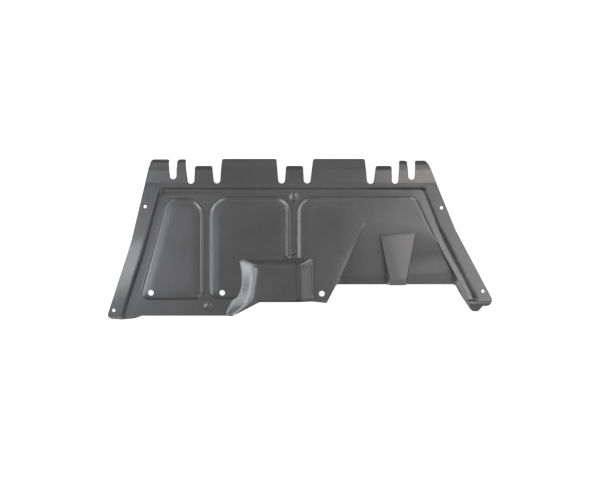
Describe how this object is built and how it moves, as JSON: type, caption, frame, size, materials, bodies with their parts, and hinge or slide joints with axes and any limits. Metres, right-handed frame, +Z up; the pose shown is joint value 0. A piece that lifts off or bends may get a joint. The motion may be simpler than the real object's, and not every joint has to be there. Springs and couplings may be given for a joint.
{
  "type": "engine splash shield",
  "caption": "Moulded plastic engine undertray with raised panels, a sloped air duct with a splitter wedge, screw flanges and a slotted front edge.",
  "frame": {"origin": "middle of the footprint, on the level of the part's lowest point", "axes": "+X across the car to the duct side, +Y to the slotted front edge, +Z up to the engine side"},
  "size_m": [0.9388, 0.3984, 0.0791],
  "materials": {
    "black_plastic": "satin moulded, fine grain"
  },
  "bodies": {
    "root": {"splash_shield": "black_plastic"}
  },
  "joints": []
}
